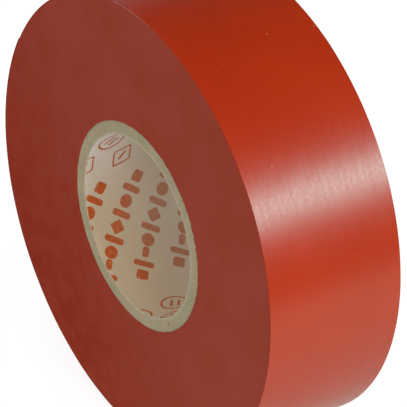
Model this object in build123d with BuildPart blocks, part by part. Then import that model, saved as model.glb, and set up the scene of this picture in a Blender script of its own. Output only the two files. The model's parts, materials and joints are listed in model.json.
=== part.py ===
from build123d import *
import os
from math import cos, pi, radians, sin, tan

# Electrical tape roll, standing on its tread. Millimetres.
# The origin is the middle of the core's bore, +Y runs along the bore and +Z is up.

# Tape
tape_width = 25.0
film_thickness = 0.13
adhesive_thickness = 0.025
turns = 138
windings_x = -1.1  # the windings' centre, which is a little off the bore's axis
windings_z = -0.4

# Core: a printed paper liner inside spiral-wound plies of grey board
bore_radius = 15.5
liner_thickness = 0.3
ply_thickness = 0.525
ply_count = 4
core_length = 24.6
seam_gap = 0.12
seam_depth = 0.8  # radial depth of a seam's cut, which passes right through one ply
seam_overrun = 1.0  # how far a seam's cut runs past the core's back end
seam_slant = 36.5  # degrees between a wound strip's edge and the roll's sides
liner_seam_angle = 110.0  # where the liner's seam meets the front end, from +X towards +Z
seam_stagger = 97.0  # degrees from one ply's seam to the next ply's

# Free end: the last stretch of the outermost turn, which peels off as a chain of links
free_end_angle = 150.0  # degrees from +X towards +Z
link_count = 6
link_arc = 10.0  # degrees of the roll that one link covers

turn_pitch = film_thickness + adhesive_thickness
core_radius = bore_radius + liner_thickness + ply_count * ply_thickness
roll_radius = core_radius + turns * turn_pitch
tail_arc = link_count * link_arc
hinge_angle = free_end_angle + tail_arc

core_side = Plane(origin=(0, core_length / 2, 0), x_dir=(1, 0, 0), z_dir=(0, -1, 0))
tape_side = Plane(origin=(windings_x, tape_width / 2, windings_z), x_dir=(1, 0, 0), z_dir=(0, -1, 0))

# The outermost surface is a spiral of two half circles, whose centres lie a quarter of the pitch
# either side of the windings' centre. It grows by one pitch in one turn, up to the free end.
quarter_pitch = turn_pitch / 4
step_direction = Vector(cos(radians(free_end_angle)), sin(radians(free_end_angle)))
outer_centre = step_direction * quarter_pitch
outer_radius = roll_radius - quarter_pitch
inner_centre = step_direction * -quarter_pitch
inner_radius = roll_radius - 3 * quarter_pitch

fixed_arcs = [
    (outer_centre, outer_radius, hinge_angle, 180 - tail_arc),
    (inner_centre, inner_radius, free_end_angle + 180, 180),
]


def strip_outline(outer_depth, inner_depth, arcs):
    """The outline of a strip between two depths below the outermost surface, along the given arcs."""
    outer = [CenterArc(c, r - outer_depth, start, size) for c, r, start, size in arcs]
    inner = [CenterArc(c, r - inner_depth, start, size) for c, r, start, size in arcs]
    Line(outer[0] @ 0, inner[0] @ 0)
    Line(outer[-1] @ 1, inner[-1] @ 1)


def seam_cutter(inner_radius, thickness, front_angle):
    """The helical butt seam of a ply wound from a strip, which meets the front end at an angle."""
    radius = inner_radius + thickness / 2
    pitch = 2 * pi * radius * tan(radians(seam_slant))
    # A helix starts above the axis, at 90 degrees, and loses 360 degrees in each pitch of its run in
    run_in = pitch * ((90 - front_angle) % 360) / 360
    length = run_in + core_length + seam_overrun
    with BuildPart() as cutter:
        with BuildLine() as seam:
            Helix(pitch, length, radius, (0, -core_length / 2 - run_in, 0), (0, 1, 0))
        path = seam.edge()
        start = path @ 0
        with BuildSketch(Plane(origin=start, x_dir=(start.X, 0, start.Z), z_dir=path % 0)):
            Rectangle(seam_depth, seam_gap)
        sweep(path=path, is_frenet=True)
    return cutter.part


def finish(part, name):
    part.label = name
    export_step(part, f"parts/{name}.step")


os.makedirs("parts", exist_ok=True)

# Printed paper liner, the bore's wall
liner_seam = seam_cutter(bore_radius, liner_thickness, liner_seam_angle)
with BuildPart() as core_liner:
    with BuildSketch(core_side):
        Circle(bore_radius + liner_thickness)
        Circle(bore_radius, mode=Mode.SUBTRACT)
    extrude(amount=core_length)
    add(liner_seam, mode=Mode.SUBTRACT)
finish(core_liner.part, "core_liner")

# Grey board plies, from the liner out, with their seams staggered
for ply in range(ply_count):
    ply_radius = bore_radius + liner_thickness + ply * ply_thickness
    ply_seam = seam_cutter(ply_radius, ply_thickness, liner_seam_angle + (ply + 1) * seam_stagger)
    with BuildPart() as core_ply:
        with BuildSketch(core_side):
            Circle(ply_radius + ply_thickness)
            Circle(ply_radius, mode=Mode.SUBTRACT)
        extrude(amount=core_length)
        add(ply_seam, mode=Mode.SUBTRACT)
    finish(core_ply.part, f"core_ply_{ply + 1}")

# All the turns under the outermost one, pressed together
with BuildPart() as inner_windings:
    with BuildSketch(tape_side):
        with BuildLine():
            wide = CenterArc(outer_centre, outer_radius - turn_pitch, free_end_angle, 180)
            narrow = CenterArc(inner_centre, inner_radius - turn_pitch, free_end_angle + 180, 180)
            Line(narrow @ 1, wide @ 0)
        make_face()
        with Locations((-windings_x, -windings_z)):
            Circle(core_radius, mode=Mode.SUBTRACT)
    extrude(amount=tape_width)
finish(inner_windings.part, "inner_windings")

# Outermost turn, up to the free end: PVC film over its adhesive coat
with BuildPart() as outer_turn_film:
    with BuildSketch(tape_side):
        with BuildLine():
            strip_outline(0, film_thickness, fixed_arcs)
        make_face()
    extrude(amount=tape_width)
finish(outer_turn_film.part, "outer_turn_film")

with BuildPart() as outer_turn_adhesive:
    with BuildSketch(tape_side):
        with BuildLine():
            strip_outline(film_thickness, turn_pitch, fixed_arcs)
        make_face()
    extrude(amount=tape_width)
finish(outer_turn_adhesive.part, "outer_turn_adhesive")

# Free end, link by link from the hinge to the cut edge
for link in range(link_count):
    link_arcs = [(outer_centre, outer_radius, hinge_angle - (link + 1) * link_arc, link_arc)]

    with BuildPart() as tail_film:
        with BuildSketch(tape_side):
            with BuildLine():
                strip_outline(0, film_thickness, link_arcs)
            make_face()
        extrude(amount=tape_width)
    finish(tail_film.part, f"tail_film_{link + 1}")

    with BuildPart() as tail_adhesive:
        with BuildSketch(tape_side):
            with BuildLine():
                strip_outline(film_thickness, turn_pitch, link_arcs)
            make_face()
        extrude(amount=tape_width)
    finish(tail_adhesive.part, f"tail_adhesive_{link + 1}")
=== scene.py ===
import json
import math

import bmesh
import bpy
import numpy as np
from mathutils import Matrix, Vector

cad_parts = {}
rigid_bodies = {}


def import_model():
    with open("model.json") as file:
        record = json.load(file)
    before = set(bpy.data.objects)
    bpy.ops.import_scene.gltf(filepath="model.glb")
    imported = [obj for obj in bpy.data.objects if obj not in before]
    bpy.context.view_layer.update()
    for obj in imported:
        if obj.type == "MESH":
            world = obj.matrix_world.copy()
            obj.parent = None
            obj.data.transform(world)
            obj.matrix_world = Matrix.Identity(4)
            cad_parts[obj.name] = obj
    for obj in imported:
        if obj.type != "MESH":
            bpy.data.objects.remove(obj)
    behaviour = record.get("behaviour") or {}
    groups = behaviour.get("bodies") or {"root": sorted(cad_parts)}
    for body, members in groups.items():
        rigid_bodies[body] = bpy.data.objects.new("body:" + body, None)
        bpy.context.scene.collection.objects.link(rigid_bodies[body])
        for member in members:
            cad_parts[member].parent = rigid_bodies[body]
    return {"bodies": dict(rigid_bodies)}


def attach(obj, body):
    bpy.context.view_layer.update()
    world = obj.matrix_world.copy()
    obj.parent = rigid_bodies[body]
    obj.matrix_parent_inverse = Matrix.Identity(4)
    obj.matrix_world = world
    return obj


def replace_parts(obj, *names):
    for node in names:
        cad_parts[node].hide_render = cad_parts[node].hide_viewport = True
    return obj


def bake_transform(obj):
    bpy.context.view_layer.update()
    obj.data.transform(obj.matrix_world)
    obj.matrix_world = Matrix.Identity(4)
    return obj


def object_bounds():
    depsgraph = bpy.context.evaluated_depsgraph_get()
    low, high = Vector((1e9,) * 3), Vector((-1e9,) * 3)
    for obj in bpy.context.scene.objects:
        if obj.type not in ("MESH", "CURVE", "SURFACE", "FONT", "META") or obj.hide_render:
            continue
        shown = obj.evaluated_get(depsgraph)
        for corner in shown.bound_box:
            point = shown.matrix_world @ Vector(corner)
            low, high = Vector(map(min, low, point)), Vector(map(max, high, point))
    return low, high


# Electrical tape roll. Lengths are in millimetres here and turn into metres as a mesh is made.
# Angles are in degrees around the bore, from +X towards +Z, and the front side faces -Y.

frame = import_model()
cad_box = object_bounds()

MM = 0.001

# Core: a printed paper liner inside spiral-wound plies of grey board
HALF_CORE = 12.3  # half the core's length
BORE_RADIUS = 15.5
LINER = 0.3
PLY = 0.525
PLIES = 4
SEAM_GAP = 0.12
SEAM_SLANT = 36.5  # degrees between a wound strip's edge and the roll's sides
LINER_SEAM = 110.0  # where the liner's seam meets the front end
SEAM_STAGGER = 97.0  # degrees from one ply's seam to the next ply's

# Tape
HALF_WIDTH = 12.5
FILM = 0.13
PITCH = 0.155  # the film and its adhesive
CLEARANCE = 0.002  # between the adhesive of the outermost turn and the windings
TURNS = 138
CENTRE_X = -1.1  # the windings' centre, which is a little off the bore's axis
CENTRE_Z = -0.4
CORE_RADIUS = BORE_RADIUS + LINER + PLIES * PLY
ROLL_RADIUS = CORE_RADIUS + TURNS * PITCH

# Free end: the last stretch of the outermost turn, which peels off as a chain of links
FREE_END = 150.0
LINKS = len(frame["bodies"]) - 1  # every body but the roll is one link
LINK = 10.0  # degrees of the roll that one link covers
HINGE = FREE_END + LINKS * LINK
OVERLAP = 2.0  # degrees that the outermost turn runs on past one full turn


# ---------------------------------------------------------------- shapes that several pieces share


def spiral(angle, depth):
    """(x, z) at a depth below the outermost surface, followed inwards from the free end."""
    turn, within = np.divmod(np.asarray(angle, float) - FREE_END, 360.0)
    first_half = within < 180.0
    side = np.where(first_half, 1.0, -1.0) * PITCH / 4
    radius = ROLL_RADIUS - np.where(first_half, 1.0, 3.0) * PITCH / 4 - turn * PITCH - depth
    rad = np.radians(angle)
    step = math.radians(FREE_END)
    x = CENTRE_X + side * math.cos(step) + radius * np.cos(rad)
    z = CENTRE_Z + side * math.sin(step) + radius * np.sin(rad)
    return x, z


def ripple(u, v, seed, waves, shortest, longest):
    """Smooth noise about 0 with a spread of about 1, made of waves that run in any direction."""
    rng = np.random.default_rng(seed)
    total = 0.0
    for _ in range(waves):
        length = math.exp(rng.uniform(math.log(shortest), math.log(longest)))
        heading = rng.uniform(0, math.tau)
        along = u * math.cos(heading) + v * math.sin(heading)
        total = total + np.sin(math.tau * along / length + rng.uniform(0, math.tau))
    return total / math.sqrt(waves / 2)


def ring_ripple(rad, other, seed, waves, most, length):
    """Smooth noise that closes on itself around a ring, with up to `most` waves in one turn."""
    rng = np.random.default_rng(seed)
    total = 0.0
    for _ in range(waves):
        count = int(rng.integers(1, most + 1))
        stretch = length * math.exp(rng.uniform(-0.7, 0.7)) * rng.choice((-1, 1))
        total = total + np.sin(count * rad + math.tau * other / stretch + rng.uniform(0, math.tau))
    return total / math.sqrt(waves / 2)


def make_object(name, points, faces, materials, indices=None, crease=35.0):
    """A mesh object from points in millimetres, smooth apart from edges sharper than the crease."""
    mesh = bpy.data.meshes.new(name)
    mesh.from_pydata((np.asarray(points, float) * MM).tolist(), [], faces)
    for material in materials:
        mesh.materials.append(material)
    if indices is not None:
        mesh.polygons.foreach_set("material_index", np.asarray(indices, np.int32))
    build = bmesh.new()
    build.from_mesh(mesh)
    bmesh.ops.recalc_face_normals(build, faces=build.faces)
    build.to_mesh(mesh)
    build.free()
    mesh.shade_smooth()
    mesh.set_sharp_from_angle(angle=math.radians(crease))
    made = bpy.data.objects.new(name, mesh)
    bpy.context.scene.collection.objects.link(made)
    return made


def add_lay(made, along, across):
    """Where each point lies on the flat, unwound strip, for the materials to follow."""
    lay = made.data.attributes.new("lay", "FLOAT_VECTOR", "POINT")
    values = np.stack([np.ravel(part) for part in np.broadcast_arrays(along, across, 0.0)], -1)
    lay.data.foreach_set("vector", values.astype(np.float32).ravel())


def sheet_faces(rows, columns, closed=False):
    """Quads over a grid of points that starts at index 0, whose last column can join its first."""
    row, column = np.mgrid[0 : rows - 1, 0 : columns if closed else columns - 1]
    first = (row * columns + column).ravel()
    after = (row * columns + (column + 1) % columns).ravel()
    return np.stack([first, after, after + columns, first + columns], -1)


# ---------------------------------------------------------------- materials

# Base colours, reflectances and the gradients by place in the side, the liner and the ink were tuned
# together with the lights until the render matched one photograph. They are not measured values.


def colour(value):
    """A colour with its alpha, or any other value as it is."""
    return (*value, 1.0) if isinstance(value, tuple) and len(value) == 3 else value


class Nodes:
    """A material's node tree, put together one call at a time."""

    def __init__(self, name):
        self.material = bpy.data.materials.new(name)
        self.material.use_nodes = True
        self.tree = self.material.node_tree
        self.tree.nodes.clear()

    def add(self, kind, inputs, output=0, **settings):
        """A node whose inputs are linked to sockets or set to values. Returns the output asked for."""
        node = self.tree.nodes.new("ShaderNode" + kind)
        for key, value in settings.items():
            setattr(node, key, value)
        for key, value in inputs.items():
            if isinstance(value, bpy.types.NodeSocket):
                self.tree.links.new(value, node.inputs[key])
            else:
                node.inputs[key].default_value = value
        return node.outputs[output] if node.outputs else None

    def math(self, operation, a, b=0.0):
        return self.add("Math", {0: a, 1: b}, operation=operation)

    def vector(self, operation, a, b=(0, 0, 0), output=0):
        return self.add("VectorMath", {0: a, 1: b}, output, operation=operation)

    def noise(self, place, scale, detail=3.0, roughness=0.55):
        inputs = {"Vector": place, "Scale": scale, "Detail": detail, "Roughness": roughness}
        return self.add("TexNoise", inputs)

    def ramp(self, value, low, high, to_low=0.0, to_high=1.0):
        """A smooth step from one level to another, as a value goes from low to high."""
        inputs = {0: value, 1: low, 2: high, 3: to_low, 4: to_high}
        return self.add("MapRange", inputs, interpolation_type="SMOOTHSTEP")

    def mix(self, factor, a, b):
        """Colour a, or colour b where the factor is 1."""
        inputs = {0: factor, 6: colour(a), 7: colour(b)}
        return self.add("Mix", inputs, 2, data_type="RGBA")

    def place(self):
        """Object coordinates in millimetres."""
        return self.vector("MULTIPLY", self.add("TexCoord", {}, 3), (1 / MM, 1 / MM, 1 / MM))

    def axis(self, place, index):
        """The x, y or z of a place, as index 0, 1 or 2."""
        return self.add("SeparateXYZ", {0: place}, index)

    def lay(self, stretch=(1, 1, 1)):
        """Millimetres along the flat strip and across it, each multiplied by its stretch."""
        lay = self.add("Attribute", {}, 1, attribute_name="lay")
        return self.vector("MULTIPLY", lay, stretch)

    def wound(self, x, z, around, outwards):
        """Noise coordinates around the axis through (x, z), with `around` units to a radian."""
        place = self.place()
        flat = self.vector("MULTIPLY", self.vector("SUBTRACT", place, (x, 0, z)), (1, 0, 1))
        unit = self.vector("MULTIPLY", self.vector("NORMALIZE", flat), (around, 0, around))
        radius = self.math("MULTIPLY", self.vector("LENGTH", flat, output=1), outwards)
        side = self.math("MULTIPLY", self.axis(place, 1), 0.4)
        middle = self.add("CombineXYZ", {0: 0.0, 1: self.math("ADD", radius, side), 2: 0.0})
        return self.vector("ADD", unit, middle)

    def surface(self, inputs, bumps):
        """A principled surface, with bumps of (height, strength, distance in mm) laid on it."""
        inputs = {key: colour(value) for key, value in inputs.items()}
        for height, strength, distance in bumps:
            bump = {"Height": height, "Strength": strength, "Distance": distance * MM}
            if "Normal" in inputs:
                bump["Normal"] = inputs["Normal"]
            inputs["Normal"] = self.add("Bump", bump)
        self.add("OutputMaterial", {"Surface": self.add("BsdfPrincipled", inputs)})
        return self.material

    def glowing(self, tone, tint, strength):
        """A matt surface that also gives off some light of its own."""
        body = self.add("BsdfDiffuse", {"Color": colour(tone)})
        glow = self.add("Emission", {"Color": colour(tint), "Strength": strength})
        self.add("OutputMaterial", {"Surface": self.add("AddShader", {0: body, 1: glow})})
        return self.material


def film_material():
    """Glossy calendered PVC: faint lengthwise lines, fine orange peel, a few dust specks and a
    paler band at the free end, where cutting strained it."""
    n = Nodes("pvc_film")
    drift = n.noise(n.lay((1, 1, 0)), 0.06, 2.0)
    lines = n.noise(n.lay((0.02, 1.0, 0)), 1.3, 4.0, 0.6)
    peel = n.noise(n.lay((1, 1, 0)), 1.6, 2.0, 0.5)
    grain = n.noise(n.lay((1, 1, 0)), 9.0, 2.0, 0.6)
    tension = n.noise(n.lay((0.22, 1.0, 0)), 0.6, 2.0, 0.5)
    dust = n.ramp(n.noise(n.lay((1, 1, 0)), 1.7, 0.0), 0.88, 0.92)
    base = n.mix(n.ramp(drift, 0.3, 0.7), (0.392, 0.0230, 0.0003), (0.420, 0.0260, 0.0006))
    base = n.mix(n.ramp(lines, 0.3, 0.7, 0.0, 0.25), base, (0.380, 0.0215, 0.0003))
    base = n.mix(n.math("MULTIPLY", dust, 0.5), base, (0.75, 0.45, 0.35))
    cut = math.radians(FREE_END) * ROLL_RADIUS
    strained = n.ramp(n.axis(n.lay(), 0), cut + 0.2, cut + 1.3, 0.7, 0.0)
    base = n.mix(n.math("MULTIPLY", strained, n.ramp(peel, 0.25, 0.6)), base, (0.62, 0.22, 0.15))
    uneven = n.math("MULTIPLY", n.math("ADD", lines, peel), 0.5)
    inputs = {"Base Color": base, "Roughness": n.ramp(uneven, 0.3, 0.7, 0.30, 0.36), "IOR": 1.5}
    inputs["Specular IOR Level"] = 0.22
    bumps = [(tension, 1.0, 0.035), (lines, 0.5, 0.004), (peel, 0.5, 0.004), (grain, 0.3, 0.001)]
    return n.surface(inputs, bumps)


def edge_material():
    """The matte slit edges of the windings: mottled, with faint rings and a few short streaks.

    Towards the low -X side it turns darker and redder as painted shade, and the paler high side is a
    painted sheen."""
    n = Nodes("pvc_edge")
    mottle = n.noise(n.place(), 0.09, 4.0, 0.6)
    patch = n.noise(n.vector("ADD", n.place(), (31, 17, 53)), 0.28, 4.0, 0.6)
    rings = n.noise(n.wound(CENTRE_X, CENTRE_Z, 4.0, 1.6), 1.0, 4.0, 0.7)
    turns = n.noise(n.wound(CENTRE_X, CENTRE_Z, 30.0, 6.0), 1.0, 2.0, 0.6)
    streak = n.ramp(n.noise(n.wound(CENTRE_X, CENTRE_Z, 22.0, 2.6), 1.0, 2.0, 0.5), 0.68, 0.76)
    speck = n.ramp(n.noise(n.place(), 1.5, 1.0, 0.5), 0.72, 0.80)
    # Painted shade darkens and reddens the low -X side, and the high side keeps a paler painted sheen
    painted_shade_to_sheen = n.ramp(n.vector("DOT_PRODUCT", n.place(), (1.0, 0, 0.8), output=1), -55.0, 5.0)
    base = n.mix(n.ramp(mottle, 0.32, 0.68), (0.425, 0.060, 0.029), (0.475, 0.078, 0.045))
    base = n.mix(painted_shade_to_sheen, (0.375, 0.024, 0.004), base)
    base = n.mix(n.ramp(patch, 0.35, 0.7, 0.0, 0.5), base, (0.452, 0.070, 0.038))
    base = n.mix(n.ramp(rings, 0.35, 0.65, 0.0, 0.3), base, (0.405, 0.060, 0.032))
    base = n.mix(n.ramp(turns, 0.3, 0.7, 0.0, 0.2), base, (0.485, 0.080, 0.048))
    base = n.mix(n.math("MULTIPLY", streak, 0.5), base, (0.25, 0.034, 0.018))
    base = n.mix(n.math("MULTIPLY", speck, 0.45), base, (0.27, 0.038, 0.020))
    inputs = {"Base Color": base, "Roughness": n.ramp(turns, 0.3, 0.7, 0.55, 0.7), "IOR": 1.45}
    inputs["Specular IOR Level"] = 0.04
    return n.surface(inputs, [(rings, 0.4, 0.03), (turns, 0.5, 0.03), (streak, 0.5, -0.03)])


def board_material():
    """Raw grey board, cut across: short fibres in several greys and the odd dark fleck."""
    n = Nodes("grey_board")
    mottle = n.noise(n.place(), 0.35, 4.0, 0.65)
    fibre = n.noise(n.wound(0, 0, 18.0, 5.0), 1.0, 4.0, 0.7)
    fleck = n.ramp(n.noise(n.wound(0, 0, 30.0, 4.0), 1.0, 1.0), 0.70, 0.78)
    pale = n.ramp(n.noise(n.place(), 2.3, 2.0), 0.64, 0.74)
    patch = n.noise(n.vector("ADD", n.place(), (7, 3, 11)), 0.12, 2.0, 0.5)
    base = n.mix(n.ramp(mottle, 0.3, 0.7), (0.500, 0.410, 0.245), (0.610, 0.495, 0.315))
    base = n.mix(n.ramp(patch, 0.42, 0.62, 0.0, 0.7), base, (0.470, 0.435, 0.270))
    base = n.mix(n.ramp(fibre, 0.3, 0.7, 0.0, 0.5), base, (0.455, 0.380, 0.225))
    base = n.mix(n.math("MULTIPLY", fleck, 0.45), base, (0.20, 0.16, 0.10))
    base = n.mix(n.math("MULTIPLY", pale, 0.35), base, (0.64, 0.56, 0.42))
    inputs = {"Base Color": base, "Roughness": 0.9, "IOR": 1.4}
    return n.surface(inputs, [(fibre, 0.8, 0.06), (mottle, 0.5, 0.08)])


def paper_material():
    """Coated liner paper, a little uneven: palest near the front, as painted shade darkens it deeper into
    the bore, and warmer low down, from a painted warm light.
    """
    n = Nodes("liner_paper")
    cloud = n.noise(n.place(), 0.13, 3.0, 0.5)
    fibre = n.noise(n.lay((1, 1, 0)), 1.2, 5.0, 0.7)
    inwards = n.axis(n.place(), 1)
    # Painted warm light: a warm pool of light painted low down, strongest near the front of the bore
    low = n.ramp(n.axis(n.place(), 2), 10.0, -8.0)
    painted_warm_light = n.math("MULTIPLY", low, n.ramp(inwards, 4.0, -8.0, 0.25, 1.0))
    base = n.mix(n.ramp(cloud, 0.3, 0.7), (0.88, 0.830, 0.760), (0.92, 0.880, 0.820))
    # Painted shade: the paper turns darker and greyer deeper into the bore
    base = n.mix(n.ramp(inwards, -11.0, 3.0), base, (0.70, 0.610, 0.510))
    base = n.mix(painted_warm_light, base, (0.72, 0.590, 0.395))
    base = n.mix(n.ramp(fibre, 0.35, 0.7, 0.0, 0.3), base, (0.74, 0.590, 0.440))
    inputs = {"Base Color": base, "Roughness": n.ramp(fibre, 0.3, 0.7, 0.5, 0.65), "IOR": 1.45}
    inputs["Specular IOR Level"] = 0.06
    return n.surface(inputs, [(cloud, 0.5, 0.05), (fibre, 0.5, 0.01)])


def cut_paper_material():
    """The liner's bare cut edge, whiter than its face."""
    n = Nodes("liner_cut")
    fibre = n.noise(n.place(), 3.0, 4.0, 0.7)
    base = n.mix(n.ramp(fibre, 0.3, 0.7), (0.56, 0.48, 0.32), (0.66, 0.58, 0.42))
    return n.surface({"Base Color": base, "Roughness": 0.85, "IOR": 1.4}, [(fibre, 0.6, 0.03)])


def ink_material():
    """Orange ink that doesn't quite cover the paper, duller further into the bore, where painted shade
    dulls its colour.
    """
    n = Nodes("liner_ink")
    wear = n.noise(n.place(), 1.6, 5.0, 0.7)
    cloud = n.noise(n.place(), 0.2, 2.0, 0.5)
    base = n.mix(n.ramp(cloud, 0.3, 0.7), (0.62, 0.110, 0.020), (0.64, 0.140, 0.035))
    # Painted shade: the ink turns duller and browner further into the bore
    base = n.mix(n.ramp(n.axis(n.place(), 1), -10.5, 2.0), base, (0.56, 0.25, 0.14))
    base = n.mix(n.ramp(wear, 0.50, 0.78, 0.0, 0.6), base, (0.82, 0.50, 0.33))
    inputs = {"Base Color": base, "Roughness": n.ramp(wear, 0.3, 0.7, 0.5, 0.65), "IOR": 1.45}
    inputs["Specular IOR Level"] = 0.06
    return n.surface(inputs, [(wear, 0.4, 0.008)])


def adhesive_material():
    """Tacky rubber adhesive over the film's colour, drawn into ridges where it has let go."""
    n = Nodes("adhesive")
    pull = n.noise(n.lay((1.0, 0.25, 0)), 1.4, 4.0, 0.65)
    blotch = n.noise(n.lay((1, 1, 0)), 0.35, 3.0, 0.6)
    base = n.mix(n.ramp(blotch, 0.3, 0.7), (0.33, 0.036, 0.012), (0.39, 0.050, 0.020))
    base = n.mix(n.ramp(pull, 0.4, 0.7, 0.0, 0.3), base, (0.44, 0.075, 0.035))
    inputs = {"Base Color": base, "Roughness": n.ramp(pull, 0.3, 0.7, 0.22, 0.45), "IOR": 1.48}
    return n.surface(inputs, [(pull, 0.6, 0.015), (blotch, 0.4, 0.02)])


film = film_material()
edge = edge_material()
board = board_material()
paper = paper_material()
cut_paper = cut_paper_material()
ink = ink_material()
adhesive = adhesive_material()


# ---------------------------------------------------------------- windings


def wound_pack():
    """All the turns under the outermost one, whose edges make the two matte sides."""
    columns = 360
    angle = HINGE + OVERLAP + np.arange(columns) * 360.0 / columns
    # Rows from the core out, closer at both rims, with three more right at the core
    even = np.linspace(0, 1, 100)
    share = even * 0.5 + (1 - np.cos(np.pi * even)) * 0.25
    share = np.sort(np.append(share, (0.0015, 0.004, 0.007)))[:, None]
    rad = np.radians(angle)[None, :]
    outer = spiral(angle, PITCH + CLEARANCE)
    x = (1 - share) * CORE_RADIUS * np.cos(rad) + share * outer[0]
    z = (1 - share) * CORE_RADIUS * np.sin(rad) + share * outer[1]
    turn = share * TURNS
    points = []
    for side, seed in ((-1, 11), (1, 12)):
        rings = ripple(turn, turn * 0, seed, 14, 2.5, 40.0)
        wobble = ring_ripple(rad, turn, seed + 20, 14, 7, 60.0)
        ragged = 0.6 + 0.4 * ring_ripple(rad, turn * 0, seed + 40, 30, 160, 1.0)
        inset = 0.035 + 0.011 * rings + 0.008 * wobble
        inset = inset + 0.12 * np.clip(ragged, 0.1, 1.4) * np.exp(-turn / 0.7)
        y = side * (HALF_WIDTH - np.clip(inset, 0.004, 0.2))
        points.append(np.stack([x, y, z], -1).reshape(-1, 3))
    rows = len(share)
    total = rows * columns
    face = sheet_faces(rows, columns, closed=True)
    column = np.arange(columns)
    walls = []
    for row in (0, rows - 1):
        first = row * columns + column
        after = row * columns + (column + 1) % columns
        walls.append(np.stack([first, after, after + total, first + total], -1))
    faces = np.concatenate([face, face + total, *walls])
    made = make_object("wound_pack", np.concatenate(points), faces.tolist(), [edge])
    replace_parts(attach(made, "roll"), "inner_windings")


STRIP_STEP = 0.5  # degrees from one row of points to the next
STRIP_STATIONS = 26  # points across the strip, apart from those of its rounded edges


def slit_wander(along, side):
    """How far the slit edge stands in from the full half width, on side 0 or 1."""
    wander = 0.012 + 0.007 * ripple(along, along * 0, 5 + side, 10, 4.0, 60.0)
    return np.clip(wander, 0, 0.03)


def tape_strip(name, start, end, top, bottom, corner, waviness, materials):
    """A length of one layer of the tape between two depths, from one angle to another.

    `corner` is the radius of its outer edges and `waviness` the depth of the waves on its outer side."""
    count = int(round((end - start) / STRIP_STEP)) + 1
    angle = np.linspace(start, end, count)[:, None]
    along = np.radians(angle) * ROLL_RADIUS
    turn = np.radians((0, 30, 60, 90))
    fall = np.append(corner * (1 - np.sin(turn)), 0)
    inset = np.append(corner * (1 - np.cos(turn)), corner + 0.03)
    middle = np.linspace(-1, 1, STRIP_STATIONS)[1:-1]
    left = slit_wander(along, 0) - HALF_WIDTH + inset
    right = HALF_WIDTH - slit_wander(along, 1) - inset[::-1]
    inner_left, inner_right = left[:, -1:], right[:, :1]
    flat = (inner_left + inner_right) / 2 + middle * (inner_right - inner_left) / 2
    across = np.hstack([left, flat, right])
    droop = np.concatenate([fall, np.zeros(len(middle)), fall[::-1]])
    wave = np.clip(0.5 + 0.28 * ripple(along, across, 3, 24, 4.0, 22.0), 0, 1) * waviness
    upper = np.stack([*spiral(angle, top + droop + wave), across], -1)[..., [0, 2, 1]]
    lower = np.stack([*spiral(angle, bottom - droop * 0.5 + across * 0), across], -1)[..., [0, 2, 1]]
    columns = across.shape[1]
    total = count * columns
    grid = sheet_faces(count, columns)
    faces, indices = [grid, grid + total], [np.zeros(2 * len(grid), int)]
    for column in (0, columns - 1):
        first = np.arange(count - 1) * columns + column
        faces.append(np.stack([first, first + columns, first + columns + total, first + total], -1))
        indices.append(np.ones(count - 1, int))
    for row in (0, count - 1):
        first = row * columns + np.arange(columns - 1)
        faces.append(np.stack([first, first + 1, first + 1 + total, first + total], -1))
        indices.append(np.ones(columns - 1, int))
    points = np.concatenate([upper.reshape(-1, 3), lower.reshape(-1, 3)])
    made = make_object(name, points, np.concatenate(faces).tolist(), materials, np.concatenate(indices))
    lay = np.broadcast_arrays(along, across)
    add_lay(made, *[np.tile(part.ravel(), 2) for part in lay])
    return made


def layer_strips(layer, top, bottom, corner, waviness, material):
    """One layer of the outermost turn, and of the free end in pieces, one over each joint and a tip that
    rides the last link.
    """
    shape = (top, bottom, corner, waviness, [material, edge])
    stuck = tape_strip(f"outer_{layer}", HINGE + LINK / 2, HINGE + 360 + OVERLAP, *shape)
    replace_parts(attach(stuck, "roll"), f"outer_turn_{layer}")
    bodies = ["roll"] + [f"tail_{k + 1}" for k in range(LINKS)]
    for k in range(LINKS):
        joint = HINGE - LINK * k
        piece = tape_strip(f"free_{layer}_{k + 1}", joint - LINK / 2, joint + LINK / 2, *shape)
        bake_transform(piece)
        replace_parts(piece, f"tail_{layer}_{k + 1}")
    tip = tape_strip(f"free_{layer}_tip", FREE_END, FREE_END + LINK / 2, *shape)
    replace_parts(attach(tip, bodies[-1]), f"tail_{layer}_{LINKS}")


wound_pack()
layer_strips("film", 0.0, FILM, 0.05, 0.016, film)
layer_strips("adhesive", FILM, PITCH - CLEARANCE / 2, 0.01, 0.0, adhesive)


# ---------------------------------------------------------------- core


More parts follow.
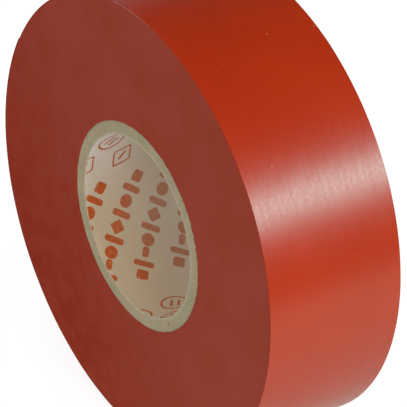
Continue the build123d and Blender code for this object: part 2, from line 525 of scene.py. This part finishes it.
def core_sheet(name, node, inner, thickness, front_seam, seed, spacing, materials, buckle):
    """One spiral-wound layer of the core, with a helical butt seam and roughly cut ends.

    Its first material is on its two skins and its second on its ends and its seam."""
    columns = 481
    middle = inner + thickness / 2
    slant = math.radians(SEAM_SLANT)
    pitch = math.tau * middle * math.tan(slant)
    gap = SEAM_GAP / math.sin(slant) / middle
    near_ends = np.array([0, 0.04, 0.12, 0.3])  # extra rows, as distances from an end
    flat = HALF_CORE - 0.8
    body = np.linspace(-flat, flat, int(round(2 * flat / spacing)) + 1)
    skin = np.concatenate([near_ends - HALF_CORE, body, HALF_CORE - near_ends[::-1]])
    levels = np.array([0.25, 0.5, 0.75])
    # Back along the outer skin, in across the back end, home along the inner skin, out across the front
    ends = np.full(len(levels), HALF_CORE)
    y = np.concatenate([skin, ends, skin[::-1], -ends])[:, None]
    level = np.concatenate([skin * 0 + 1, levels[::-1], skin * 0, levels])[:, None]
    corner = (np.abs(y) == HALF_CORE) & ((level == 0) | (level == 1))
    share = np.linspace(0, 1, columns)[None, :]
    seam = math.radians(front_seam) - (y + HALF_CORE) / pitch * math.tau
    rad = seam + gap / 2 + share * (math.tau - gap)
    front_cut, back_cut = [
        0.035
        + 0.014 * ring_ripple(rad, level * thickness, seed + side, 40, 120, 1.2)
        + 0.010 * ring_ripple(rad, level * thickness, seed + side + 2, 8, 9, 3.0)
        for side in (0, 1)
    ]
    cut = np.clip(np.where(y < 0, front_cut, back_cut), 0.002, 0.12) + 0.03 * corner
    fade = np.clip(1 - (HALF_CORE - np.abs(y)), 0, 1)
    rough_y = y - np.sign(y) * cut * fade
    wave = 0.5 + 0.25 * np.clip(ring_ripple(rad, y, seed + 7, 12, 9, 30.0), -2, 2)
    radius = inner + thickness * level + buckle * wave * (level == 0)
    points = np.stack([radius * np.cos(rad), rough_y, radius * np.sin(rad)], -1).reshape(-1, 3)
    rows, skins, inside = len(y), len(skin), len(levels)
    grid = sheet_faces(rows, columns)
    first = np.arange(columns - 1)
    last = first + (rows - 1) * columns
    faces = np.concatenate([grid, np.stack([last, last + 1, first + 1, first], -1)]).tolist()
    row = np.repeat(np.arange(rows), columns - 1)
    back_end = (row >= skins - 1) & (row < skins + inside)
    front_end = row >= rows - inside - 1
    indices = (back_end | front_end).astype(int).tolist()
    # The two walls of the seam
    for column in (0, columns - 1):
        rim = np.arange(rows) * columns + column
        outside, home = rim[:skins], rim[skins + inside : 2 * skins + inside][::-1]
        faces += np.stack([outside[:-1], outside[1:], home[1:], home[:-1]], -1).tolist()
        faces.append(rim[skins - 1 : skins + inside + 1].tolist())
        faces.append([*rim[rows - inside - 1 :].tolist(), column])
        indices += [1] * (skins + 1)
    made = make_object(name, points, faces, materials, indices, crease=50.0)
    add_lay(made, rad * middle, rough_y)
    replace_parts(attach(made, "roll"), node)


core_sheet(
    "liner", "core_liner", inner=BORE_RADIUS, thickness=LINER, front_seam=LINER_SEAM, seed=200, spacing=0.5,
    materials=[paper, cut_paper], buckle=0.02,
)
for ply in range(PLIES):
    core_sheet(
        f"board_ply_{ply + 1}", f"core_ply_{ply + 1}", inner=BORE_RADIUS + LINER + ply * PLY, thickness=PLY,
        front_seam=LINER_SEAM + (ply + 1) * SEAM_STAGGER, seed=300 + 10 * ply, spacing=1.2,
        materials=[board, board], buckle=0.0,
    )


# ---------------------------------------------------------------- print on the liner

ROW_STEP = 5.85  # across the strip, from one row of shapes to the next
ROW_SHIFT = -4.33  # along the strip, from one row to the next
FIRST_ROW = (8.9, 19.4)  # where row 0 starts, along and across
REPEAT = 45.1  # along the strip, from one group of shapes to the next
SHAPE_STEP = 2.3  # from one shape of a group to the next
MARK_STEP = 6.6  # back from a group's start to one outlined mark, and from that to the next
PRINT_ORIGIN = 115.0  # where the flat strip's own origin lies around the bore
PRINT_MARGIN = 0.12  # bare paper at the core's ends
INK_BACK, INK_FACE = 0.004, 0.018  # how far the ink's two sides stand in from the bore's wall


def rounded(points, radius, steps=5):
    """A closed outline with its corners rounded off, each by one quadratic curve."""
    outline = []
    count = len(points)
    for k in range(count):
        before, here, after = (Vector(points[(k + j) % count]) for j in (-1, 0, 1))
        into, out = (here - before).normalized(), (after - here).normalized()
        turn = into.angle(out)
        cut = radius * math.tan(turn / 2)
        start, end = here - into * cut, here + out * cut
        for j in range(steps + 1):
            t = j / steps
            outline.append(start.lerp(here, t).lerp(here.lerp(end, t), t))
    return outline


def disc(size, steps=24):
    angles = np.linspace(0, math.tau, steps, endpoint=False)
    return [Vector((math.cos(angle), math.sin(angle))) * size / 2 for angle in angles]


def bar(width, height, radius):
    w, h = width / 2, height / 2
    return rounded([(-w, -h), (w, -h), (w, h), (-w, h)], radius)


def diamond(width, height, radius):
    return rounded([(-width / 2, 0), (0, -height / 2), (width / 2, 0), (0, height / 2)], radius)


def moved(outline, along, across):
    return [point + Vector((along, across)) for point in outline]


def pattern():
    """Every outline of the print, as (along, across) on the flat strip: rows of plain shapes.

    Where one outline lies inside another, the space between them is filled."""
    square, upright, block = bar(2.0, 2.0, 0.5), bar(1.1, 3.5, 0.5), bar(2.0, 1.1, 0.5)
    dot, lozenge = disc(2.3), diamond(2.8, 2.8, 0.3)
    group = [square, upright, dot, upright, lozenge, upright, dot, block, upright, square]
    diamond_mark = [diamond(5.4, 4.4, 0.5), diamond(4.6, 3.72, 0.38), bar(1.9, 0.4, 0.18)]
    stroke = bar(2.4, 0.4, 0.18)
    round_mark = [disc(4.9, 40), disc(4.25, 40), moved(stroke, 0, 0.6), moved(stroke, 0, -0.6)]
    outlines = []
    for row in range(-4, 9):
        across = FIRST_ROW[1] + ROW_STEP * row
        for repeat in range(-2, 3):
            start = FIRST_ROW[0] + ROW_SHIFT * row + REPEAT * repeat
            outlines += [moved(shape, start + SHAPE_STEP * k, across) for k, shape in enumerate(group)]
            outlines += [moved(part, start - MARK_STEP, across) for part in diamond_mark]
            outlines += [moved(part, start - 2 * MARK_STEP, across) for part in round_mark]
    return outlines


def around_and_in(place):
    """From (along, across) the flat strip to how far around the bore and in from its front end."""
    slant = math.radians(SEAM_SLANT)
    around = place.x * math.cos(slant) + place.y * math.sin(slant)
    return around, -place.x * math.sin(slant) + place.y * math.cos(slant)


def flat_print():
    """The printed shapes as a flat mesh, with x around the bore and y in from its front end."""
    slant = math.radians(SEAM_SLANT)
    seam_across = BORE_RADIUS * math.radians(LINER_SEAM - PRINT_ORIGIN) * math.sin(slant)
    strip_width = math.tau * BORE_RADIUS * math.sin(slant)
    flat = bpy.data.curves.new("print_outlines", "CURVE")
    flat.dimensions = "2D"
    flat.fill_mode = "BOTH"
    for outline in pattern():
        middle = sum(outline, Vector((0, 0))) / len(outline)
        on_strip = seam_across + 0.5 < middle.y < seam_across + strip_width - 0.5
        if not on_strip or not -4 < around_and_in(middle)[1] < 2 * HALF_CORE + 4:
            continue
        spline = flat.splines.new("POLY")
        spline.points.add(len(outline) - 1)
        for point, place in zip(spline.points, outline):
            point.co = (*around_and_in(place), 0, 1)
        spline.use_cyclic_u = True
    holder = bpy.data.objects.new("print_outlines", flat)
    bpy.context.scene.collection.objects.link(holder)
    bpy.context.view_layer.update()
    filled = holder.evaluated_get(bpy.context.evaluated_depsgraph_get())
    mesh = bpy.data.meshes.new_from_object(filled)
    bpy.data.objects.remove(holder)
    return mesh


def liner_print():
    """The printed shapes: ink with a little thickness, laid on the bore's wall."""
    build = bmesh.new()
    build.from_mesh(flat_print())
    lay = build.verts.layers.float_vector.new("lay")

    def cut(place, normal, clear=False):
        geometry = build.verts[:] + build.edges[:] + build.faces[:]
        bmesh.ops.bisect_plane(build, geom=geometry, plane_co=place, plane_no=normal, clear_outer=clear)

    cut((0, PRINT_MARGIN, 0), (0, -1, 0), clear=True)
    cut((0, 2 * HALF_CORE - PRINT_MARGIN, 0), (0, 1, 0), clear=True)
    # Narrow slices, so that each shape bends with the wall
    places = [vert.co.x for vert in build.verts]
    for s in np.arange(min(places), max(places), 0.4):
        cut((s, 0, 0), (1, 0, 0))
    bmesh.ops.remove_doubles(build, verts=build.verts, dist=1e-4)
    bmesh.ops.dissolve_degenerate(build, edges=build.edges, dist=1e-4)
    raised = bmesh.ops.extrude_face_region(build, geom=build.faces[:], use_keep_orig=True)
    for item in raised["geom"]:
        if isinstance(item, bmesh.types.BMVert):
            item.co.z = 1.0
    bmesh.ops.recalc_face_normals(build, faces=build.faces)
    for vert in build.verts:
        s, y, lifted = vert.co
        rad = math.radians(PRINT_ORIGIN) + s / BORE_RADIUS
        radius = BORE_RADIUS - (INK_FACE if lifted else INK_BACK)
        vert[lay] = (s, y, 0)
        vert.co = Vector((radius * math.cos(rad), y - HALF_CORE, radius * math.sin(rad))) * MM
    made_mesh = bpy.data.meshes.new("liner_print")
    build.to_mesh(made_mesh)
    build.free()
    made_mesh.materials.append(ink)
    made = bpy.data.objects.new("liner_print", made_mesh)
    bpy.context.scene.collection.objects.link(made)
    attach(made, "roll")


liner_print()


# ---------------------------------------------------------------- floor, light and camera

FLOOR_LEVEL = cad_box[0].z / MM - 0.05


def floor():
    """A plain pale floor that stays bright around the roll."""
    n = Nodes("floor")
    cloud = n.ramp(n.noise(n.place(), 0.004, 2.0), 0.3, 0.7)
    material = n.glowing(n.mix(cloud, (0.30, 0.30, 0.30), (0.31, 0.31, 0.31)), (1, 1, 1), 0.85)
    spokes = 64
    rad = np.linspace(0, math.tau, spokes, endpoint=False)
    rings = np.array([150.0, 500.0, 2000.0, 8000.0])[:, None]
    places = np.broadcast_arrays(rings * np.cos(rad), rings * np.sin(rad), FLOOR_LEVEL)
    points = np.stack(places, -1).reshape(-1, 3)
    faces = [list(range(spokes)), *sheet_faces(len(rings), spokes, closed=True).tolist()]
    made = make_object("floor", points, faces, [material])
    made.visible_glossy = made.visible_diffuse = False


def floor_mirrored():
    """The floor that the tread mirrors, its glow brighter away from the roll, with painted shade near the
    roll. Only reflections see it.
    """
    n = Nodes("floor_mirrored")
    # Painted shade: the glow is dimmer near the roll, where the roll shades the floor
    strength = n.add("MapRange", {0: n.axis(n.place(), 0), 1: 30.0, 2: 92.0, 3: 0.3, 4: 1.75})
    material = n.glowing((0.9, 0.9, 0.9), (0.5, 1.3, 1.05), strength)
    count = 12
    x, y = np.meshgrid(np.linspace(-20, 135, count), np.linspace(-150, 250, count))
    places = np.broadcast_arrays(x, y, FLOOR_LEVEL + 0.02)
    points = np.stack(places, -1).reshape(-1, 3)
    made = make_object("floor_mirrored", points, sheet_faces(count, count).tolist(), [material])
    made.visible_camera = made.visible_diffuse = made.visible_shadow = False


def backwards(azimuth, elevation):
    """The direction from the roll to a light or the camera. Azimuth runs from +X towards +Y."""
    az, el = math.radians(azimuth), math.radians(elevation)
    return Vector((math.cos(el) * math.cos(az), math.cos(el) * math.sin(az), math.sin(el)))


def softbox(
    name, azimuth, elevation, distance, width, height, radiance, tint=(1, 1, 1), diffuse=True, glossy=True
):
    """An area light that faces the roll. Its distance and size are in metres."""
    light = bpy.data.lights.new(name, "AREA")
    light.shape = "RECTANGLE"
    light.size, light.size_y = width, height
    light.energy = radiance * math.pi * width * height
    light.color = tint
    made = bpy.data.objects.new(name, light)
    bpy.context.scene.collection.objects.link(made)
    back = backwards(azimuth, elevation)
    facing = back.to_track_quat("Z", "Y").to_matrix().to_4x4()
    made.matrix_world = Matrix.Translation(back * distance) @ facing
    made.visible_camera = False
    made.visible_diffuse = diffuse
    made.visible_glossy = glossy


def studio():
    """An even white surround and five soft area lights."""
    scene = bpy.context.scene
    world = bpy.data.worlds.new("studio")
    world.use_nodes = True
    background = world.node_tree.nodes["Background"]
    background.inputs["Color"].default_value = (1, 1, 1, 1)
    background.inputs["Strength"].default_value = 0.54
    world.cycles_visibility.glossy = False
    world.cycles.sampling_method = "NONE"
    scene.world = world
    # The strip's reflection is the pale band on the tread, and its tint is tuned to that band's colour
    softbox("strip", 33.0, 19.6, 1.2, 0.56, 0.12, 86.0, (0.56, 1.0, 0.97), diffuse=False)
    softbox("rear", 146.0, 12.0, 2.0, 2.0, 0.9, 0.65, diffuse=False)
    softbox("left", 215.0, 25.0, 1.5, 0.25, 0.9, 40.0, diffuse=False)
    softbox("key", 4.0, 18.0, 1.2, 0.3, 0.3, 28.5, glossy=False)
    softbox("front", -18.0, 20.0, 1.2, 0.35, 0.25, 6.0, (1.0, 0.95, 0.88), glossy=False)
    scene.view_settings.view_transform = "Standard"


def camera():
    """A long lens from the front right and above, which crops the roll on all four sides."""
    scene = bpy.context.scene
    data = bpy.data.cameras.new("camera")
    data.sensor_width = 36.0
    data.lens = 304.8
    made = bpy.data.objects.new("camera", data)
    scene.collection.objects.link(made)
    back = backwards(-34.098, 30.138)
    made.location = Vector((0, 0.84, 0.05)) * MM + back * 0.56316
    made.rotation_mode = "QUATERNION"
    made.rotation_quaternion = back.to_track_quat("Z", "Y")
    data.clip_start, data.clip_end = 0.01, 50.0
    scene.camera = made


floor()
floor_mirrored()
studio()
camera()
